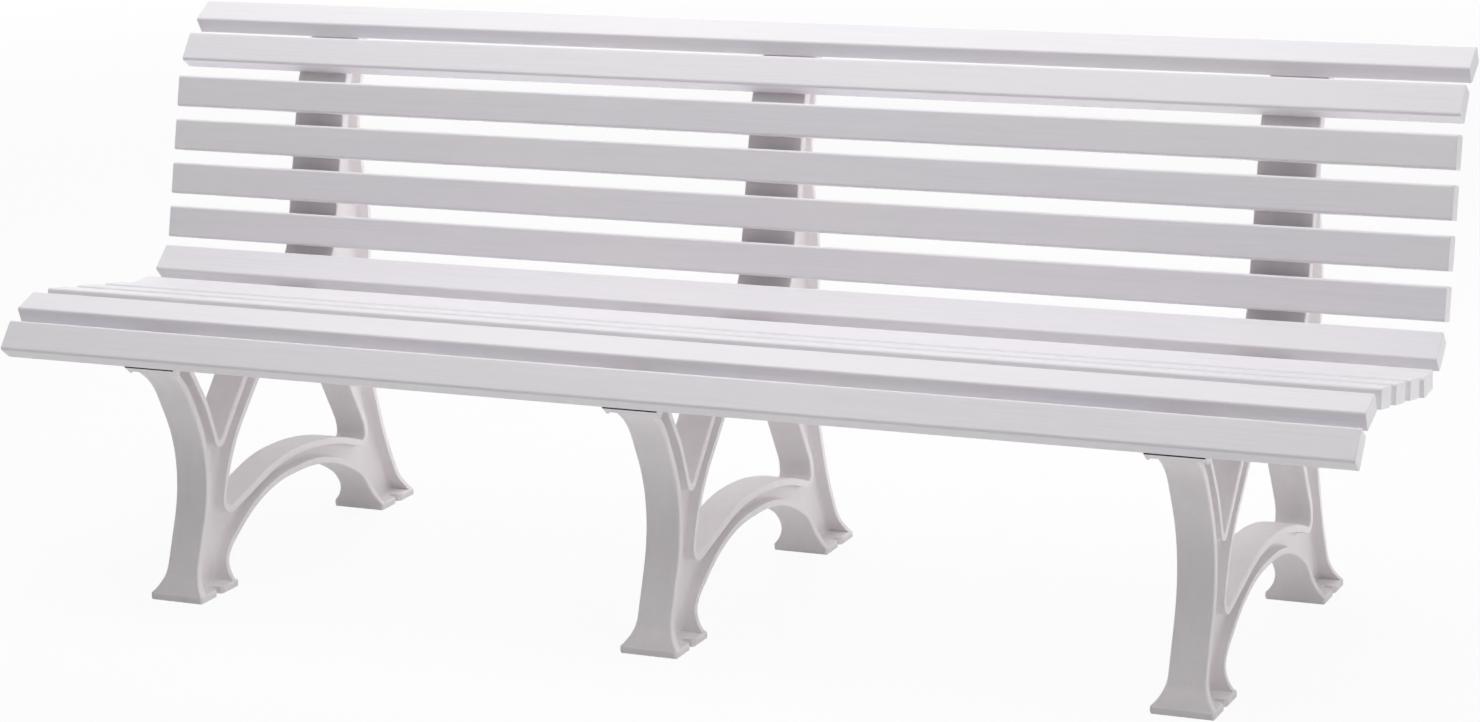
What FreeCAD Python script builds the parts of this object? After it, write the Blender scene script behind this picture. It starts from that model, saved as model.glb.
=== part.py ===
import FreeCAD, Part
import math
import os

# Garden bench: thirteen equal slats screwed to three equal side frames.
# X runs along the bench, -Y is the side that people sit on, Z is up.
# The origin is on the ground, in the middle of the bench's length and depth.
# Side outlines are drawn with y measured from the front edge of the front feet.

# Whole bench
bench_length = 2000.0
end_overhang = 238.0  # from the middle of an outer frame to the slats' ends
frame_spacing = bench_length / 2.0 - end_overhang
wheelbase = 530.0

# Slats: one hollow profile with a cap in each end
slat_width = 48.0
slat_thickness = 28.0
slat_corner = 4.0
slat_wall = 4.0
slat_bore_corner = 2.0
cap_thickness = 3.0
cap_edge = 1.2
plug_length = 14.0
plug_wall = 2.5
plug_clearance = 0.3

# Line through the slats' centres, from the front edge of the seat to the top of the back
line_start_y = -28.0
line_start_z = 384.0
front_angle = 51.0
front_roll_radius = 111.0
seat_fall = 9.2
seat_run = 223.5
knee_radius = 108.0
back_angle = 76.5
back_run = 206.0
top_roll_radius = 167.0

# Steps along that line from slat to slat
seat_slat_count = 6
back_slat_count = 7
front_pitch = 62.0
seat_pitch = 74.5
knee_pitch = 76.5
back_pitch = 67.5

# Side frame: an H section, with a wide rail under the slats
rail_width = 84.0
rail_thickness = 13.0
rail_edge = 2.0
rail_lip_width = 5.0
rail_lip_depth = 4.5
flange_width = 52.0
flange_thickness = 10.0
flange_edge = 2.5
web_thickness = 14.0
web_fillet = 6.0
rail_overlap = 2.0

# Arch between the front and the rear feet
arch_height = 118.0
arch_depth = 38.0

# Feet
pad_length = 103.0
pad_width = 88.0
pad_thickness = 11.0
pad_corner = 5.0
pad_edge = 3.0
pad_step = 2.0  # from the pad's edge to the leg
pad_shelf = 7.0  # the same behind the front leg
flare_height = 38.0
notch_width = 13.0
notch_depth = 20.0
notch_mouth = 5.0

# Corners of the frame's side outline as (reach, rise, softness) from the place named beside each.
# Softness is the share of the corner's shorter side that its curve takes.
head_corner = (35.0, -24.0, 0.480)  # lower front end of the rail
waist_corner = (78.0, 190.0, 0.564)  # front of the front pads
ankle_corner = (18.0, 34.0, 0.108)  # front of the front pads
spring_corner = (6.0, 48.0, 0.465)  # rear of the front pads
arch_foot_corner = (-10.0, 55.0, 0.638)  # front of the rear pads
heel_corner = (-50.0, 114.0, 0.276)  # rear of the rear pads
calf_corner = (-83.0, 229.0, 0.396)  # rear of the rear pads
lumbar_corner = (140.0, 4.0, 0.117)  # back of the second back slat
shoulder_corner = (85.0, 8.0, 0.246)  # back of the fourth back slat
top_depth = 33.0  # how far the upright's top end reaches behind the top slat
top_softness = 0.083

# Corners of the arch as (reach, softness): reach is a share of the clear span between the feet
arch_front_corner = (0.269, 0.612)  # under the arch, from the rear of the front pads
arch_rear_corner = (-0.286, 0.612)  # under the arch, from the front of the rear pads
crown_front_corner = (0.382, 0.295)  # over the arch, from the rear of the front pads
crown_rear_corner = (-0.274, 0.868)  # over the arch, from the front of the rear pads

# Opening between the front leg and the branch that carries the middle of the seat
fork_corner = (102.0, 216.3, 0.125)  # front of the front pads
fork_bend_corner = (79.0, 282.5, 0.300)  # front of the front pads
fork_front_corner = (10.5, -53.5, 0.180)  # back of the second seat slat
fork_rear_corner = (-36.0, -53.0, 0.146)  # back of the fifth seat slat

# Opening above the arch
crevice_corner = (4.0, -7.5, 0.240)  # underside of the arch over the rear of the front pads
shin_low_corner = (-12.0, -40.0, 0.446)  # top of the arch over the front of the rear pads
shin_corner = (-12.0, -14.0, 0.454)  # top of the arch over the front of the rear pads
beam_rear_corner = (110.0, -69.0, 0.149)  # back of the sixth seat slat
beam_front_corner = (18.0, -58.0, 0.087)  # back of the fifth seat slat
branch_corner = (129.5, 193.5, 0.700)  # front of the front pads

# Dark strip between the front slat and the front end of each rail
strip_length = 16.0
strip_thickness = 1.5

# Screws that hold each slat to each rail
screw_spread = 63.0
screw_radius = 2.5
screw_head_radius = 4.2
screw_head_height = 3.2
screw_head_edge = 1.3
screw_reach = 8.0
screw_tip = 3.0
washer_radius = 4.9
washer_thickness = 1.5
hole_clearance = 0.3
recess_width = 1.2
recess_length = 4.6
recess_depth = 1.8

# How far cutters run past a piece, and how near two places count as the same
cutter_overrun = 5.0
same_place = 0.01


def along(point, angle, distance):
    """The point that lies a distance away in a direction of the side view."""
    return (point[0] + distance * math.cos(angle), point[1] + distance * math.sin(angle))


def corner(origin, offsets):
    """Outline corner as (y, z, softness), from its place and its offsets from there."""
    reach, rise, softness = offsets
    return (origin[0] + reach, origin[1] + rise, softness)


def arch_corner(foot_y, height, offsets):
    """Outline corner of the arch at a height, from a foot's place and its offsets from there."""
    reach, softness = offsets
    return (foot_y + reach * (wheelbase - pad_length), height, softness)


def sharp(points):
    """Outline corners without a curve."""
    return [(y, z, 0.0) for y, z in points]


def rounded_wire(corners):
    """Closed wire in the side view through (y, z, softness) corners."""
    runs = []
    places = [FreeCAD.Vector(0.0, y, z) for y, z, softness in corners]
    for index, place in enumerate(places):
        softness = corners[index][2]
        if softness == 0.0:
            runs.append((place, None, place))
            continue
        before = places[index - 1] - place
        after = places[(index + 1) % len(places)] - place
        tangent = softness * min(before.Length, after.Length)
        half_angle = before.getAngle(after) / 2.0
        before.normalize()
        after.normalize()
        radius = tangent * math.tan(half_angle)
        depth = radius / math.sin(half_angle) - radius
        middle = place + (before + after).normalize() * depth
        runs.append((place + before * tangent, middle, place + after * tangent))
    edges = []
    for index, (start, middle, end) in enumerate(runs):
        if middle is not None:
            edges.append(Part.Arc(start, middle, end).toShape())
        next_start = runs[(index + 1) % len(runs)][0]
        edges.append(Part.LineSegment(end, next_start).toShape())
    return Part.Wire(edges)


def extruded(face, width):
    """Solid from a side face, half of its width to each side."""
    shift = FreeCAD.Vector(-width / 2.0, 0.0, 0.0)
    return face.translated(shift).extrude(FreeCAD.Vector(width, 0.0, 0.0))


def slat_line():
    """The line through the slats' centres as (curvature, length) stretches."""
    front_turn = math.radians(front_angle + seat_fall)
    knee_turn = math.radians(seat_fall + back_angle)
    return [
        (-1.0 / front_roll_radius, front_roll_radius * front_turn),
        (0.0, seat_run),
        (1.0 / knee_radius, knee_radius * knee_turn),
        (0.0, back_run),
        (-1.0 / top_roll_radius, back_pitch * back_slat_count),
    ]


def station_at(distance):
    """Centre and direction of a slat that lies a distance along the slat line."""
    point = (line_start_y, line_start_z)
    angle = math.radians(front_angle)
    for curvature, length in slat_line():
        step = min(distance, length)
        turn = curvature * step
        chord = step
        if curvature != 0.0:
            chord = 2.0 * math.sin(turn / 2.0) / curvature
        point = along(point, angle + turn / 2.0, chord)
        angle += turn
        distance -= step
    return (point[0], point[1], angle)


def slat_stations():
    """Stations of all slats, from the front of the seat to the top of the back."""
    steps = [0.0, front_pitch]
    steps += [seat_pitch] * (seat_slat_count - 2)
    steps += [knee_pitch]
    steps += [back_pitch] * (back_slat_count - 1)
    return [station_at(sum(steps[:index + 1])) for index in range(len(steps))]


stations = slat_stations()


def below_slat(index, forward, depth):
    """Point under a slat: a way along the slat line and a depth below the slat's back."""
    y, z, angle = stations[index]
    point = along((y, z), angle - math.pi / 2.0, slat_thickness / 2.0 + depth)
    return along(point, angle, forward)


def bench_middle():
    """Middle of the bench's depth, between the front slat's nose and the rear feet."""
    y, z, angle = stations[0]
    half_width = slat_width / 2.0 - slat_corner
    half_thickness = slat_thickness / 2.0 - slat_corner
    nose = y - half_width * math.cos(angle) - half_thickness * math.sin(angle) - slat_corner
    return (nose + wheelbase + pad_length) / 2.0


def rail_line(depth):
    """Flats under the slats, joined by straight lines, at a depth below the slats' backs."""
    half_flat = slat_width / 2.0 - slat_corner
    points = []
    for index in range(len(stations)):
        points.append(below_slat(index, -half_flat, depth))
        points.append(below_slat(index, half_flat, depth))
    points[0] = below_slat(0, -slat_width / 2.0, depth)
    points[-1] = below_slat(-1, slat_width / 2.0, depth)
    return points


def rail():
    """Wide strip that follows the slats, with a flat seat for each and a lip along each side."""
    depth = rail_thickness + rail_lip_depth
    outline = rail_line(0.0) + rail_line(depth)[::-1]
    strip = extruded(Part.Face(rounded_wire(sharp(outline))), rail_width)
    side_edges = [edge for edge in strip.Edges if edge.BoundBox.XLength < rail_edge]
    strip = strip.makeFillet(rail_edge, side_edges)
    hollow = rail_line(rail_thickness) + rail_line(depth + rail_lip_depth)[::-1]
    return strip.cut(extruded(Part.Face(rounded_wire(sharp(hollow))), rail_width - 2.0 * rail_lip_width))


def frame_outline():
    """Outer side outline of the frame's body, which ends inside the rail."""
    front_pad_end = (pad_length, 0.0)
    rear_pad_start = (wheelbase, 0.0)
    rear_pad_end = (wheelbase + pad_length, 0.0)
    rear_foot = wheelbase + pad_length - pad_step
    front_foot = pad_length - pad_shelf
    top_angle = stations[-1][2] - math.pi / 2.0
    top_rear = along(below_slat(-1, slat_width / 2.0, 0.0), top_angle, top_depth)
    corners = sharp([(pad_step, 0.0), (front_foot, 0.0)])
    corners += [
        corner(front_pad_end, spring_corner),
        arch_corner(pad_length, arch_height, arch_front_corner),
        arch_corner(wheelbase, arch_height, arch_rear_corner),
        corner(rear_pad_start, arch_foot_corner),
    ]
    corners += sharp([(wheelbase + pad_step, 0.0), (rear_foot, 0.0), (rear_foot, pad_thickness)])
    corners += [
        corner(rear_pad_end, heel_corner),
        corner(rear_pad_end, calf_corner),
        corner(below_slat(seat_slat_count + 1, 0.0, 0.0), lumbar_corner),
        corner(below_slat(seat_slat_count + 3, 0.0, 0.0), shoulder_corner),
        (top_rear[0], top_rear[1], top_softness),
    ]
    corners += sharp(rail_line(rail_overlap)[::-1])
    corners += [
        corner(below_slat(0, -slat_width / 2.0, rail_thickness), head_corner),
        corner((0.0, 0.0), waist_corner),
        corner((0.0, 0.0), ankle_corner),
        (pad_step, pad_thickness, 0.0),
    ]
    return rounded_wire(corners)


def fork_outline():
    """Side outline of the opening between the front leg and its branch."""
    return rounded_wire([
        corner((0.0, 0.0), fork_corner),
        corner(below_slat(seat_slat_count - 2, 0.0, 0.0), fork_rear_corner),
        corner(below_slat(1, 0.0, 0.0), fork_front_corner),
        corner((0.0, 0.0), fork_bend_corner),
    ])


def upper_outline():
    """Side outline of the opening above the arch and behind the branch."""
    arch_top = arch_height + arch_depth
    return rounded_wire([
        corner((pad_length, arch_height), crevice_corner),
        arch_corner(pad_length, arch_top, crown_front_corner),
        arch_corner(wheelbase, arch_top, crown_rear_corner),
        corner((wheelbase, arch_top), shin_low_corner),
        corner((wheelbase, arch_top), shin_corner),
        corner(below_slat(seat_slat_count - 1, 0.0, 0.0), beam_rear_corner),
        corner(below_slat(seat_slat_count - 2, 0.0, 0.0), beam_front_corner),
        corner((0.0, 0.0), branch_corner),
    ])


def frame_side():
    """Side face of the frame's body with its two openings."""
    openings = Part.makeCompound([Part.Face(fork_outline()), Part.Face(upper_outline())])
    return Part.Face(frame_outline()).cut(openings).Faces[0]


def front_silhouette():
    """What the body fills, seen from the front: a narrow leg that flares out to its feet."""
    half_foot = pad_width / 2.0 - pad_step
    half_flange = flange_width / 2.0
    spread = half_foot - half_flange
    flare_radius = (spread ** 2 + flare_height ** 2) / (2.0 * spread)
    half_swing = math.asin(flare_height / flare_radius) / 2.0
    middle_x = half_flange + flare_radius * (1.0 - math.cos(half_swing))
    flare_top = pad_thickness + flare_height
    middle_z = flare_top - flare_radius * math.sin(half_swing)
    bench_top = stations[-1][1] + slat_width
    places = [
        (half_foot, 0.0),
        (half_foot, pad_thickness),
        (middle_x, middle_z),
        (half_flange, flare_top),
        (half_flange, bench_top),
    ]
    start_y = stations[0][0] - slat_width
    right = [FreeCAD.Vector(x, start_y, z) for x, z in places]
    left = [FreeCAD.Vector(-x, start_y, z) for x, z in places]
    outline = Part.Wire([
        Part.LineSegment(right[0], right[1]).toShape(),
        Part.Arc(right[1], right[2], right[3]).toShape(),
        Part.LineSegment(right[3], right[4]).toShape(),
        Part.LineSegment(right[4], left[4]).toShape(),
        Part.LineSegment(left[4], left[3]).toShape(),
        Part.Arc(left[3], left[2], left[1]).toShape(),
        Part.LineSegment(left[1], left[0]).toShape(),
        Part.LineSegment(left[0], right[0]).toShape(),
    ])
    depth = wheelbase + pad_length - 2.0 * start_y
    return Part.Face(outline).extrude(FreeCAD.Vector(0.0, depth, 0.0))


def rounded_flanges(body, covered):
    """The body with its flanges' outer edges rounded, but not where the rail covers them."""
    half_flange = flange_width / 2.0
    edges = []
    for edge in body.Edges:
        box = edge.BoundBox
        middle = edge.valueAt((edge.FirstParameter + edge.LastParameter) / 2.0)
        outer = box.XLength < same_place and abs(abs(middle.x) - half_flange) < same_place
        if outer and not covered.isInside(middle, same_place, True):
            edges.append(edge)
    return body.makeFillet(flange_edge, edges)


def frame_body(covered):
    """Flanges and web of the frame, without its rail and pads."""
    side = frame_side()
    body = extruded(side, pad_width).common(front_silhouette())
    body = rounded_flanges(body, covered)
    pocket_side = side.makeOffset2D(-flange_thickness)
    pocket = pocket_side.extrude(FreeCAD.Vector((pad_width - web_thickness) / 2.0, 0.0, 0.0))
    floor_edges = [edge for edge in pocket.Edges if edge.BoundBox.XMax < web_fillet]
    pocket = pocket.makeFillet(web_fillet, floor_edges)
    pocket = pocket.translated(FreeCAD.Vector(web_thickness / 2.0, 0.0, 0.0))
    opposite = pocket.mirror(FreeCAD.Vector(0.0, 0.0, 0.0), FreeCAD.Vector(1.0, 0.0, 0.0))
    return body.cut([pocket, opposite])


def pad(front_y):
    """Flat foot under a leg."""
    corner_place = FreeCAD.Vector(-pad_width / 2.0, front_y, 0.0)
    plate = Part.makeBox(pad_width, pad_length, pad_thickness, corner_place)
    upright_edges = [edge for edge in plate.Edges if edge.BoundBox.ZLength > pad_edge]
    plate = plate.makeFillet(pad_corner, upright_edges)
    flat_edges = [edge for edge in plate.Edges if edge.BoundBox.ZLength < pad_edge]
    return plate.makeFillet(pad_edge, flat_edges)


def foot_notch(front_y, side):
    """Cutter for the slot in one side of a foot, for a ground screw; its mouth opens at 45 degrees."""
    half_pad = pad_width / 2.0
    half_notch = notch_width / 2.0
    middle_y = front_y + pad_length / 2.0
    inner_x = side * (half_pad - notch_depth + half_notch)
    mouth_x = side * (half_pad - notch_mouth)
    outer_x = side * (half_pad + notch_mouth)
    half_outer = half_notch + 2.0 * notch_mouth
    places = [
        (inner_x, middle_y - half_notch),
        (mouth_x, middle_y - half_notch),
        (outer_x, middle_y - half_outer),
        (outer_x, middle_y + half_outer),
        (mouth_x, middle_y + half_notch),
        (inner_x, middle_y + half_notch),
    ]
    places.append(places[0])
    outline = Part.makePolygon([FreeCAD.Vector(x, y, 0.0) for x, y in places])
    slot = Part.Face(outline).extrude(FreeCAD.Vector(0.0, 0.0, pad_thickness))
    end = Part.makeCylinder(half_notch, pad_thickness, FreeCAD.Vector(inner_x, middle_y, 0.0))
    return slot.fuse(end)


def at_station(shape, index, x):
    """A shape drawn around the origin, laid at a slat's place: its Y along the slat line."""
    y, z, angle = stations[index]
    placed = shape.copy()
    placed.Placement = FreeCAD.Placement(
        FreeCAD.Vector(x, y, z), FreeCAD.Rotation(FreeCAD.Vector(1.0, 0.0, 0.0), math.degrees(angle)))
    return placed


def screw_places(frame_x):
    """X of the two screws beside a frame's web."""
    return [frame_x - screw_spread / 2.0, frame_x + screw_spread / 2.0]


def screw_hole(x, start, length):
    """Cutter for a screw's hole, square to a slat, from a height above the slat's middle."""
    radius = screw_radius + hole_clearance
    return Part.makeCylinder(radius, length, FreeCAD.Vector(x, 0.0, start))


def head_strip():
    """Strip around the origin, under the lower edge of the front slat's back."""
    width = rail_width - 2.0 * rail_edge
    low = FreeCAD.Vector(-width / 2.0, -slat_width / 2.0, -slat_thickness / 2.0 - strip_thickness)
    return Part.makeBox(width, strip_length, strip_thickness, low)


def strip_seat():
    """Cutter for the shallow step in the rail that the strip lies in."""
    width = rail_width + 2.0 * cutter_overrun
    length = strip_length + cutter_overrun
    height = strip_thickness + cutter_overrun
    end_y = strip_length - slat_width / 2.0
    low = FreeCAD.Vector(-width / 2.0, end_y - length, -slat_thickness / 2.0 - strip_thickness)
    return Part.makeBox(width, length, height, low)


def leg_frame():
    """One side frame around X = 0, drilled for the slats' screws."""
    seat_rail = rail()
    frame = frame_body(seat_rail).fuse([seat_rail, pad(0.0), pad(wheelbase)])
    notches = [foot_notch(front_y, side) for front_y in (0.0, wheelbase) for side in (-1.0, 1.0)]
    start = -slat_thickness / 2.0 - rail_thickness - cutter_overrun
    length = rail_thickness + 2.0 * cutter_overrun
    holes = []
    for index in range(len(stations)):
        for x in screw_places(0.0):
            hole = screw_hole(x, start, length)
            holes.append(at_station(hole, index, 0.0))
    seat = at_station(strip_seat(), 0, 0.0)
    return frame.cut(notches + holes + [seat]).removeSplitter()


def slat_section(inset, rounding):
    """Side face of a slat's outline, a way inside it."""
    half_width = slat_width / 2.0 - inset
    half_thickness = slat_thickness / 2.0 - inset
    softness = rounding / (2.0 * min(half_width, half_thickness))
    return Part.Face(rounded_wire([
        (-half_width, -half_thickness, softness),
        (half_width, -half_thickness, softness),
        (half_width, half_thickness, softness),
        (-half_width, half_thickness, softness),
    ]))


def slat():
    """Hollow slat around the origin, drilled in its back wall at each frame."""
    length = bench_length - 2.0 * cap_thickness
    profile = slat_section(0.0, slat_corner).cut(slat_section(slat_wall, slat_bore_corner))
    bar = extruded(profile, length)
    start = -slat_thickness / 2.0 - cutter_overrun
    hole_length = slat_wall + 2.0 * cutter_overrun
    holes = []
    for frame_x in (-frame_spacing, 0.0, frame_spacing):
        for x in screw_places(frame_x):
            holes.append(screw_hole(x, start, hole_length))
    return bar.cut(holes)


def end_cap(side):
    """Cap in one end of a slat: a plate over the end and a hollow plug in the bore."""
    start = side * (bench_length / 2.0 - cap_thickness)
    outward = FreeCAD.Vector(side * cap_thickness, 0.0, 0.0)
    inward = FreeCAD.Vector(-side * plug_length, 0.0, 0.0)
    shift = FreeCAD.Vector(start, 0.0, 0.0)
    plate = slat_section(0.0, slat_corner).translated(shift).extrude(outward)
    outer_x = side * bench_length / 2.0
    outer_edges = [edge for edge in plate.Edges if abs(edge.BoundBox.Center.x - outer_x) < cap_edge / 2.0]
    plate = plate.makeFillet(cap_edge, outer_edges)
    plug_inset = slat_wall + plug_clearance
    plug_outer = slat_section(plug_inset, slat_bore_corner)
    plug_inner = slat_section(plug_inset + plug_wall, slat_bore_corner / 2.0)
    plug = plug_outer.cut(plug_inner).translated(shift).extrude(inward)
    return plate.fuse(plug).removeSplitter()


def screw():
    """Pan head screw around the origin: its head under the rail, its tip in the slat."""
    seat_z = -slat_thickness / 2.0 - rail_thickness - washer_thickness
    low_z = seat_z - screw_head_height
    shank_length = washer_thickness + rail_thickness + slat_wall + screw_reach
    head = Part.makeCylinder(screw_head_radius, screw_head_height, FreeCAD.Vector(0.0, 0.0, low_z))
    lower_edges = [edge for edge in head.Edges if edge.BoundBox.ZMax < seat_z - screw_head_height / 2.0]
    head = head.makeFillet(screw_head_edge, lower_edges)
    shank = Part.makeCylinder(screw_radius, shank_length, FreeCAD.Vector(0.0, 0.0, seat_z))
    tip = Part.makeCone(screw_radius, 0.0, screw_tip, FreeCAD.Vector(0.0, 0.0, seat_z + shank_length))
    long_slot = (-recess_length / 2.0, -recess_width / 2.0, recess_length, recess_width)
    cross_slot = (-recess_width / 2.0, -recess_length / 2.0, recess_width, recess_length)
    slots = []
    for x, y, length, width in (long_slot, cross_slot):
        slots.append(Part.makeBox(length, width, recess_depth, FreeCAD.Vector(x, y, low_z)))
    return head.fuse([shank, tip]).cut(slots).removeSplitter()


def washer():
    """Washer around the origin, between the screw's head and the rail."""
    low = FreeCAD.Vector(0.0, 0.0, -slat_thickness / 2.0 - rail_thickness - washer_thickness)
    disc = Part.makeCylinder(washer_radius, washer_thickness, low)
    return disc.cut(Part.makeCylinder(screw_radius + hole_clearance, washer_thickness, low))


def fasteners(shape, indices, frame_x):
    """Copies of a screw or washer at some slats, beside one frame's web."""
    copies = []
    for index in indices:
        for x in screw_places(frame_x):
            copies.append(at_station(shape, index, x))
    return Part.makeCompound(copies)


def save(name, shape):
    """Write one piece, moved to the bench's own origin."""
    shape.translated(FreeCAD.Vector(0.0, -bench_middle(), 0.0)).exportStep("parts/" + name + ".step")


def slat_name(index):
    """Name of a slat: counted from the front of the seat, then upwards on the back."""
    if index < seat_slat_count:
        return "seat_slat_" + str(index + 1)
    return "back_slat_" + str(index - seat_slat_count + 1)


def build():
    """Write every piece of the bench."""
    os.makedirs("parts", exist_ok=True)
    seat_indices = range(seat_slat_count)
    back_indices = range(seat_slat_count, len(stations))
    frame = leg_frame()
    one_slat = slat()
    caps = Part.makeCompound([end_cap(-1.0), end_cap(1.0)])
    for index in range(len(stations)):
        save(slat_name(index), at_station(one_slat, index, 0.0))
        save(slat_name(index) + "_caps", at_station(caps, index, 0.0))
    for side, frame_x in (("left", -frame_spacing), ("middle", 0.0), ("right", frame_spacing)):
        save("leg_frame_" + side, frame.translated(FreeCAD.Vector(frame_x, 0.0, 0.0)))
        save("head_strip_" + side, at_station(head_strip(), 0, frame_x))
        for area, indices in (("seat", seat_indices), ("back", back_indices)):
            save(area + "_screws_" + side, fasteners(screw(), indices, frame_x))
            save(area + "_washers_" + side, fasteners(washer(), indices, frame_x))


build()
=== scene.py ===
import math

import bpy
from mathutils import Matrix, Vector

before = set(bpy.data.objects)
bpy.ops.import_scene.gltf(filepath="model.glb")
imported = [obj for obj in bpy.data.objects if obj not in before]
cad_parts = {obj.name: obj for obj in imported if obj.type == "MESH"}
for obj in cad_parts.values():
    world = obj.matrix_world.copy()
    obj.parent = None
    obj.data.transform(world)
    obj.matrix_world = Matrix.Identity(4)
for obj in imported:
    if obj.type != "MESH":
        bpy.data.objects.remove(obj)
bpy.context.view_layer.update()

# A slatted bench in white plastic. Metres, +X along the bench, -Y towards whoever looks at its front.
scene = bpy.context.scene


def colour(red, green, blue):
    return (red, green, blue, 1.0)


white = colour(1.0, 1.0, 1.0)


# Node helpers

class Wire:  # one output of a shader node; arithmetic on it adds Math nodes
    def __init__(self, sheet, socket):
        self.sheet = sheet
        self.socket = socket

    def maths(self, operation, first, second):
        return self.sheet.add("ShaderNodeMath", {"operation": operation}, {0: first, 1: second})

    def __add__(self, other):
        return self.maths("ADD", self, other)

    def __radd__(self, other):
        return self.maths("ADD", other, self)

    def __sub__(self, other):
        return self.maths("SUBTRACT", self, other)

    def __rsub__(self, other):
        return self.maths("SUBTRACT", other, self)

    def __mul__(self, other):
        return self.maths("MULTIPLY", self, other)

    def __rmul__(self, other):
        return self.maths("MULTIPLY", other, self)

    def __pow__(self, other):
        return self.maths("POWER", self, other)

    def atLeast(self, other):
        return self.maths("MAXIMUM", self, other)

    def atMost(self, other):
        return self.maths("MINIMUM", self, other)


class NodeSheet:  # a material's or the world's node tree, started empty
    def __init__(self, owner):
        owner.use_nodes = True
        self.tree = owner.node_tree
        self.tree.nodes.clear()

    def add(self, kind, settings=None, values=None, output=0):
        node = self.tree.nodes.new(kind)
        for name, value in (settings or {}).items():
            if name == "stops":
                self.setStops(node.color_ramp, value)
            else:
                setattr(node, name, value)
        for name, value in (values or {}).items():
            if isinstance(value, Wire):
                self.tree.links.new(value.socket, node.inputs[name])
            else:
                node.inputs[name].default_value = value
        return Wire(self, node.outputs[output]) if node.outputs else None

    def setStops(self, ramp, stops):  # each stop is a place on the ramp and its grey shade
        while len(ramp.elements) < len(stops):
            ramp.elements.new(1.0)
        for element, (place, shade) in zip(ramp.elements, stops):
            element.position = place
            element.color = colour(shade, shade, shade)

    def place(self):  # the point on the surface, in metres
        return self.add("ShaderNodeTexCoord", output="Object")

    def noise(self, place, look):  # look["repeats"] counts the features per metre along x, y and z
        scaling = {0: place, 1: look["repeats"]}
        stretched = self.add("ShaderNodeVectorMath", {"operation": "MULTIPLY"}, scaling)
        values = {"Vector": stretched, "Scale": 1.0, "Detail": look["detail"], "Roughness": look["rough"],
                  "Distortion": look["twist"]}
        return self.add("ShaderNodeTexNoise", {"noise_dimensions": "3D"}, values, "Fac")

    def ramp(self, factor, stops):
        return self.add("ShaderNodeValToRGB", {"stops": stops}, {"Fac": factor}, "Color")

    def blended(self, factor, first, second):  # first colour at 0, second at 1
        settings = {"data_type": "RGBA", "blend_type": "MIX", "clamp_factor": True}
        return self.add("ShaderNodeMix", settings, {0: factor, 6: first, 7: second}, 2)

    def bump(self, height, look):  # look["relief"] is the depth of the bump in metres
        values = {"Height": height, "Strength": look["bumpStrength"], "Distance": look["relief"]}
        return self.add("ShaderNodeBump", None, values)


def mixed(shares, *wires):  # the wires added up, each times its share
    total = wires[0] * shares[0]
    for share, wire in zip(shares[1:], wires[1:]):
        total = total + wire * share
    return total


def newMaterial(name):
    material = bpy.data.materials.new(name)
    return material, NodeSheet(material)


def plasticFinish(sheet, base, rough, normal, look):
    values = {"Base Color": base, "Roughness": rough, "Normal": normal, "IOR": look["ior"],
              "Specular IOR Level": look["specular"]}
    surface = sheet.add("ShaderNodeBsdfPrincipled", None, values)
    sheet.add("ShaderNodeOutputMaterial", None, {"Surface": surface})


# Slats: extruded white plastic, with fine drawn lines that run along each slat

slatLook = {
    "light": colour(0.903, 0.876, 0.916),
    "dark": colour(0.843, 0.816, 0.855),
    "warm": colour(0.905, 0.877, 0.890),
    "lines": {"repeats": (5.0, 360.0, 360.0), "detail": 5.0, "rough": 0.62, "twist": 0.3},
    "hairs": {"repeats": (24.0, 1500.0, 1500.0), "detail": 3.0, "rough": 0.55, "twist": 0.0},
    "patches": {"repeats": (2.6, 9.0, 9.0), "detail": 3.0, "rough": 0.5, "twist": 0.0},
    "streakShares": (0.68, 0.32),  # of lines and hairs
    "streakStops": [(0.34, 0.0), (0.50, 0.62), (0.66, 1.0)],
    "warmStops": [(0.46, 0.0), (0.72, 0.55)],
    "roughness": 0.40,
    "hairRoughness": 0.16,
    "patchRoughness": 0.06,
    "reliefShares": (0.7, 0.3),  # of lines and hairs
    "relief": 0.00022,
    "bumpStrength": 0.42,
    "ior": 1.49,
    "specular": 0.42,
}


def makeSlatPlastic():
    material, sheet = newMaterial("slatPlastic")
    place = sheet.place()
    lines = sheet.noise(place, slatLook["lines"])
    hairs = sheet.noise(place, slatLook["hairs"])
    patches = sheet.noise(place, slatLook["patches"])
    streaks = sheet.ramp(mixed(slatLook["streakShares"], lines, hairs), slatLook["streakStops"])
    drawn = sheet.blended(streaks, slatLook["dark"], slatLook["light"])
    tinted = sheet.ramp(patches, slatLook["warmStops"])
    base = sheet.blended(tinted, drawn, slatLook["warm"])
    rough = slatLook["roughness"] + slatLook["hairRoughness"] * hairs + slatLook["patchRoughness"] * patches
    normal = sheet.bump(mixed(slatLook["reliefShares"], lines, hairs), slatLook)
    plasticFinish(sheet, base, rough, normal, slatLook)
    return material


# End caps: smoother moulded plates in nearly the same white, with a soft grain

capLook = {
    "light": colour(0.888, 0.864, 0.898),
    "dark": colour(0.850, 0.826, 0.860),
    "grain": {"repeats": (420.0, 420.0, 420.0), "detail": 3.0, "rough": 0.6, "twist": 0.0},
    "clouds": {"repeats": (28.0, 28.0, 28.0), "detail": 2.0, "rough": 0.5, "twist": 0.0},
    "toneShares": (0.7, 0.3),  # of clouds and grain
    "roughness": 0.44,
    "grainRoughness": 0.10,
    "relief": 0.00012,
    "bumpStrength": 0.25,
    "ior": 1.49,
    "specular": 0.42,
}


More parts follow.
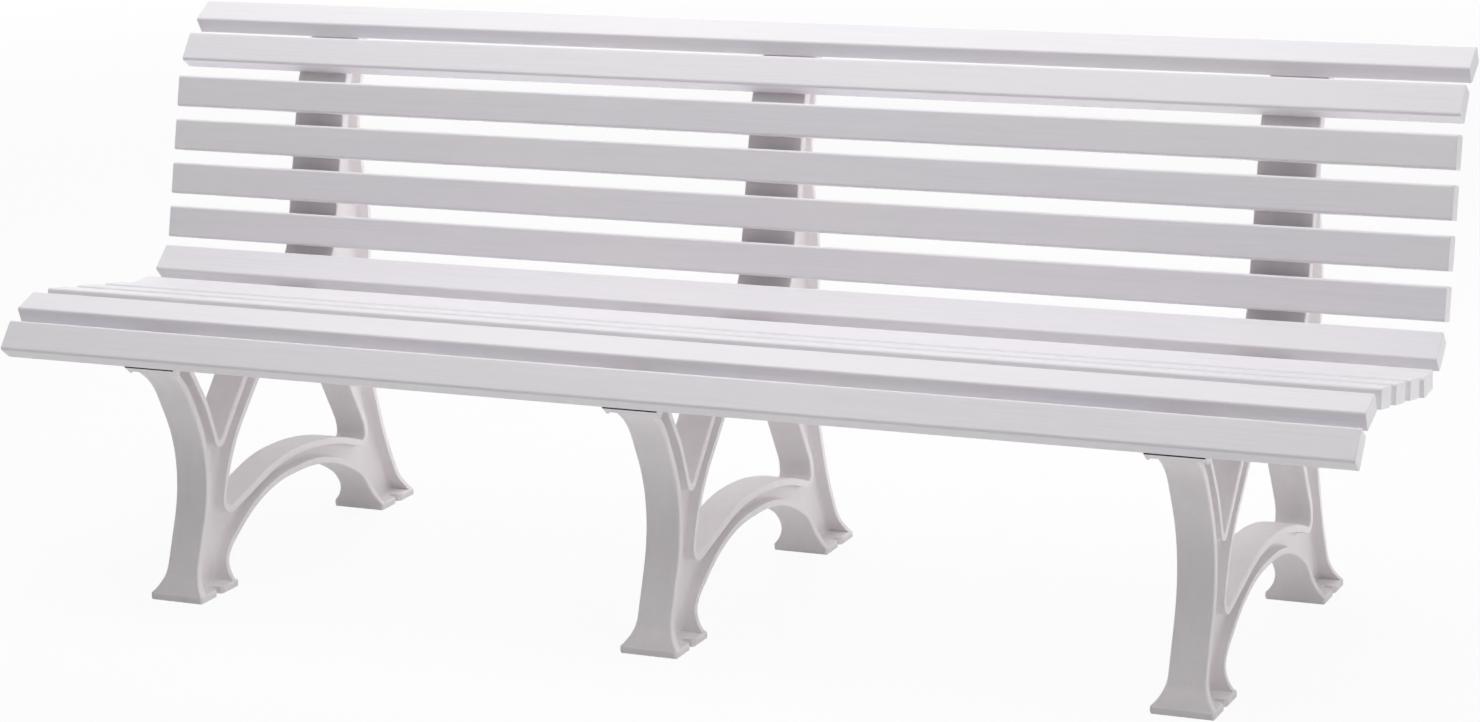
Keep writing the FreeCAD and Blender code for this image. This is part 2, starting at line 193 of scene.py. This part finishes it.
def makeCapPlastic():
    material, sheet = newMaterial("capPlastic")
    place = sheet.place()
    grain = sheet.noise(place, capLook["grain"])
    clouds = sheet.noise(place, capLook["clouds"])
    tone = mixed(capLook["toneShares"], clouds, grain)
    base = sheet.blended(tone, capLook["dark"], capLook["light"])
    rough = capLook["roughness"] + capLook["grainRoughness"] * grain
    normal = sheet.bump(grain, capLook)
    plasticFinish(sheet, base, rough, normal, capLook)
    return material


# Leg frames: one moulding each, in a warmer white with a fine even texture, faint flow lines, and painted
# shade that darkens the feet near the ground

frameLook = {
    "light": colour(0.914, 0.878, 0.886),
    "dark": colour(0.864, 0.827, 0.835),
    "paintedGroundShade": colour(0.620, 0.590, 0.575),
    "flow": {"repeats": (70.0, 70.0, 5.0), "detail": 3.0, "rough": 0.6, "twist": 0.4},
    "peel": {"repeats": (330.0, 330.0, 330.0), "detail": 3.0, "rough": 0.55, "twist": 0.0},
    "pits": {"repeats": (1300.0, 1300.0, 1300.0), "detail": 2.0, "rough": 0.5, "twist": 0.0},
    "clouds": {"repeats": (7.0, 7.0, 5.0), "detail": 3.0, "rough": 0.55, "twist": 0.0},
    "toneShares": (0.45, 0.40, 0.15),  # of flow, clouds and peel
    "toneStops": [(0.36, 0.0), (0.52, 0.6), (0.66, 1.0)],
    "groundShadeHeight": 0.05,  # above the ground, where the painted shade ends
    "groundShadeFocus": 2.0,  # a higher number keeps the painted shade nearer to the ground
    "groundShadeEven": 0.4,
    "groundShadePeel": 0.9,
    "groundShadeShare": 0.30,
    "roughness": 0.46,
    "peelRoughness": 0.16,
    "cloudRoughness": 0.05,
    "reliefShares": (0.6, 0.15, 0.25),  # of peel, pits and flow
    "relief": 0.00030,
    "bumpStrength": 0.30,
    "ior": 1.49,
    "specular": 0.38,
}


def makeFramePlastic():
    material, sheet = newMaterial("framePlastic")
    place = sheet.place()
    flow = sheet.noise(place, frameLook["flow"])
    peel = sheet.noise(place, frameLook["peel"])
    pits = sheet.noise(place, frameLook["pits"])
    clouds = sheet.noise(place, frameLook["clouds"])
    tone = sheet.ramp(mixed(frameLook["toneShares"], flow, clouds, peel), frameLook["toneStops"])
    moulded = sheet.blended(tone, frameLook["dark"], frameLook["light"])
    height = sheet.add("ShaderNodeSeparateXYZ", None, {0: place}, "Z")
    # painted shade: the frame turns darker in blotches within a few centimetres of the ground
    nearGround = (1.0 - height * (1.0 / frameLook["groundShadeHeight"])).atLeast(0.0)
    shadeFalloff = nearGround ** frameLook["groundShadeFocus"]
    paintedGroundShade = shadeFalloff * (frameLook["groundShadeEven"] + frameLook["groundShadePeel"] * peel) * frameLook["groundShadeShare"]
    base = sheet.blended(paintedGroundShade, moulded, frameLook["paintedGroundShade"])
    rough = frameLook["roughness"] + frameLook["peelRoughness"] * peel + frameLook["cloudRoughness"] * clouds
    normal = sheet.bump(mixed(frameLook["reliefShares"], peel, pits, flow), frameLook)
    plasticFinish(sheet, base, rough, normal, frameLook)
    return material


# Strips under the front slat: matt near-black, faintly mottled

stripLook = {
    "light": colour(0.060, 0.060, 0.061),
    "dark": colour(0.028, 0.028, 0.029),
    "grain": {"repeats": (900.0, 900.0, 900.0), "detail": 2.0, "rough": 0.5, "twist": 0.0},
    "patches": {"repeats": (60.0, 60.0, 60.0), "detail": 3.0, "rough": 0.5, "twist": 0.0},
    "toneShares": (0.4, 0.6),  # of grain and patches
    "roughness": 0.72,
    "patchRoughness": 0.20,
    "relief": 0.00010,
    "bumpStrength": 0.30,
    "ior": 1.50,
    "specular": 0.30,
}


def makeBlackStrip():
    material, sheet = newMaterial("blackStrip")
    place = sheet.place()
    grain = sheet.noise(place, stripLook["grain"])
    patches = sheet.noise(place, stripLook["patches"])
    tone = mixed(stripLook["toneShares"], grain, patches)
    base = sheet.blended(tone, stripLook["dark"], stripLook["light"])
    rough = stripLook["roughness"] + stripLook["patchRoughness"] * patches
    normal = sheet.bump(grain, stripLook)
    plasticFinish(sheet, base, rough, normal, stripLook)
    return material


# Screws and washers: stainless steel, brushed

steelLook = {
    "screw": {"light": colour(0.64, 0.64, 0.63), "dark": colour(0.46, 0.46, 0.46), "roughness": 0.28},
    "washer": {"light": colour(0.70, 0.70, 0.69), "dark": colour(0.54, 0.54, 0.53), "roughness": 0.34},
    "scratches": {"repeats": (900.0, 2600.0, 900.0), "detail": 3.0, "rough": 0.6, "twist": 0.0},
    "stains": {"repeats": (160.0, 160.0, 160.0), "detail": 3.0, "rough": 0.5, "twist": 0.0},
    "toneShares": (0.5, 0.5),  # of scratches and stains
    "scratchRoughness": 0.14,
    "stainRoughness": 0.08,
    "relief": 0.00004,
    "bumpStrength": 0.35,
}


def makeSteel(kind):
    look = steelLook[kind]
    material, sheet = newMaterial(kind + "Steel")
    place = sheet.place()
    scratches = sheet.noise(place, steelLook["scratches"])
    stains = sheet.noise(place, steelLook["stains"])
    tone = mixed(steelLook["toneShares"], scratches, stains)
    base = sheet.blended(tone, look["dark"], look["light"])
    brushed = look["roughness"] + steelLook["scratchRoughness"] * scratches
    rough = brushed + steelLook["stainRoughness"] * stains
    normal = sheet.bump(scratches, steelLook)
    values = {"Base Color": base, "Metallic": 1.0, "Roughness": rough, "Normal": normal}
    surface = sheet.add("ShaderNodeBsdfPrincipled", None, values)
    sheet.add("ShaderNodeOutputMaterial", None, {"Surface": surface})
    return material


def dress(piece, material):
    piece.data.materials.clear()
    piece.data.materials.append(material)
    for face in piece.data.polygons:
        face.material_index = 0


def dressBench():
    # a finish goes by a part of the piece's name; the first that fits is taken
    # so the caps come before the slats, whose mark is in the caps' names too
    finishes = {
        "_caps": makeCapPlastic(),
        "_slat_": makeSlatPlastic(),
        "leg_frame": makeFramePlastic(),
        "_screws_": makeSteel("screw"),
        "_washers_": makeSteel("washer"),
        "_strip_": makeBlackStrip(),
    }
    for name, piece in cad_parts.items():
        finish = next(material for part, material in finishes.items() if part in name)
        dress(piece, finish)
    print("dressed", len(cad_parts), "pieces")


# Floor: pale paper that turns into the white backdrop away from the bench

floorLook = {
    "radius": 40.0,
    "drop": 0.0003,  # below the feet
    "sides": 96,
    "paper": colour(0.92, 0.92, 0.92),  # as the bench sees it
    "shown": colour(0.90, 0.90, 0.90),  # as the camera sees it
    "fibres": {"repeats": (180.0, 180.0, 180.0), "detail": 3.0, "rough": 0.6, "twist": 0.0},
    "fibreColour": colour(0.5, 0.5, 0.5),
    "fibreShare": 0.03,
    "roughness": 0.9,
    "fibreRoughness": 0.1,
    "glow": 0.92,  # share of plain white that the camera sees near the bench
    "bounce": 0.15,  # the same share for the light that goes from the floor to the bench
    "fadeStart": 2.2,  # distance at which the floor begins to turn white
    "fadeLength": 5.0,
}


def makeFloorPaper():
    material, sheet = newMaterial("floorPaper")
    place = sheet.place()
    fibres = sheet.noise(place, floorLook["fibres"])
    seen = sheet.add("ShaderNodeLightPath", output="Is Camera Ray")
    tone = sheet.blended(seen, floorLook["paper"], floorLook["shown"])
    base = sheet.blended(fibres * floorLook["fibreShare"], tone, floorLook["fibreColour"])
    rough = floorLook["roughness"] + floorLook["fibreRoughness"] * fibres
    values = {"Base Color": base, "Roughness": rough, "Specular IOR Level": 0.0}
    paper = sheet.add("ShaderNodeBsdfPrincipled", None, values)
    plain = sheet.add("ShaderNodeEmission", None, {"Color": white, "Strength": 1.0})
    distance = sheet.add("ShaderNodeVectorMath", {"operation": "LENGTH"}, {0: place}, "Value")
    beyond = (distance - floorLook["fadeStart"]) * (1.0 / floorLook["fadeLength"])
    away = beyond.atLeast(0.0).atMost(1.0)
    extra = floorLook["glow"] - floorLook["bounce"] + (1.0 - floorLook["glow"]) * away
    glow = floorLook["bounce"] + seen * extra
    surface = sheet.add("ShaderNodeMixShader", None, {0: glow, 1: paper, 2: plain})
    sheet.add("ShaderNodeOutputMaterial", None, {"Surface": surface})
    return material


def makeFloor():
    sides = floorLook["sides"]
    turns = [2.0 * math.pi * side / sides for side in range(sides)]
    rim = [(floorLook["radius"] * math.cos(turn), floorLook["radius"] * math.sin(turn), -floorLook["drop"])
           for turn in turns]
    mesh = bpy.data.meshes.new("floor")
    mesh.from_pydata(rim, [], [list(range(sides))])
    mesh.materials.append(makeFloorPaper())
    floor = bpy.data.objects.new("floor", mesh)
    scene.collection.objects.link(floor)
    print("floor laid")


# Light: wide soft lamps overhead, behind and low behind the bench, and a sky that is brighter on the right

lampLook = {
    "overhead": {"size": (5.0, 3.0), "place": (-0.15, -0.35, 3.4), "aim": (0.0, 0.0, 0.4), "power": 109.0},
    "rear": {"size": (5.0, 2.0), "place": (0.0, 2.8, 2.2), "aim": (0.0, 0.0, 0.4), "power": 42.0},
    "ground": {"size": (6.0, 1.05), "place": (0.0, 0.975, 0.06), "aim": (0.0, 0.90, 1.0), "power": 22.0},
}

skyLook = {
    "low": 0.02,  # strength on the left
    "right": 2.15,  # added to it at the far right
    "rightFocus": 6.0,  # a higher number makes the bright part of the sky smaller
}


def makeLamp(name, look):
    lamp = bpy.data.lights.new(name, "AREA")
    lamp.shape = "RECTANGLE"
    lamp.size, lamp.size_y = look["size"]
    lamp.energy = look["power"]
    holder = bpy.data.objects.new(name, lamp)
    scene.collection.objects.link(holder)
    holder.location = look["place"]
    beam = Vector(look["aim"]) - Vector(look["place"])
    holder.rotation_euler = beam.to_track_quat("-Z", "Y").to_euler()
    holder.visible_camera = False


def makeLamps():
    for name, look in lampLook.items():
        makeLamp(name, look)
    print("lit by", len(lampLook), "lamps")


def makeSky():
    world = bpy.data.worlds.new("studio")
    scene.world = world
    sheet = NodeSheet(world)
    direction = sheet.add("ShaderNodeTexCoord", output="Generated")
    sideways = sheet.add("ShaderNodeSeparateXYZ", None, {0: direction}, "X").atLeast(0.0)
    strength = skyLook["low"] + skyLook["right"] * sideways ** skyLook["rightFocus"]
    studio = sheet.add("ShaderNodeBackground", None, {"Color": white, "Strength": strength})
    backdrop = sheet.add("ShaderNodeBackground", None, {"Color": white, "Strength": 1.0})
    camera = sheet.add("ShaderNodeLightPath", output="Is Camera Ray")
    glossy = sheet.add("ShaderNodeLightPath", output="Is Glossy Ray")
    through = sheet.add("ShaderNodeLightPath", output="Is Transmission Ray")
    seen = (camera + glossy + through).atMost(1.0)
    surface = sheet.add("ShaderNodeMixShader", None, {0: seen, 1: studio, 2: backdrop})
    sheet.add("ShaderNodeOutputWorld", None, {"Surface": surface})
    print("sky set")


# Camera: from the front right, at standing eye height

cameraLook = {
    "place": (2.111, -4.5873, 1.554),
    "yaw": 24.52,
    "pitch": 13.41,
    "roll": 1.59,
    "lens": 88.88,
    "sensor": 36.0,
    "reach": 200.0,
}


def makeCamera():
    view = bpy.data.cameras.new("view")
    view.sensor_fit = "HORIZONTAL"
    view.sensor_width = cameraLook["sensor"]
    view.lens = cameraLook["lens"]
    view.clip_end = cameraLook["reach"]
    holder = bpy.data.objects.new("view", view)
    scene.collection.objects.link(holder)
    turn = Matrix.Rotation(math.radians(cameraLook["yaw"]), 4, "Z")
    tilt = Matrix.Rotation(math.radians(90.0 - cameraLook["pitch"]), 4, "X")
    lean = Matrix.Rotation(math.radians(-cameraLook["roll"]), 4, "Z")
    holder.matrix_world = Matrix.Translation(cameraLook["place"]) @ turn @ tilt @ lean
    scene.camera = holder
    print("camera set")


dressBench()
makeFloor()
makeSky()
makeLamps()
makeCamera()
scene.view_settings.view_transform = "Standard"
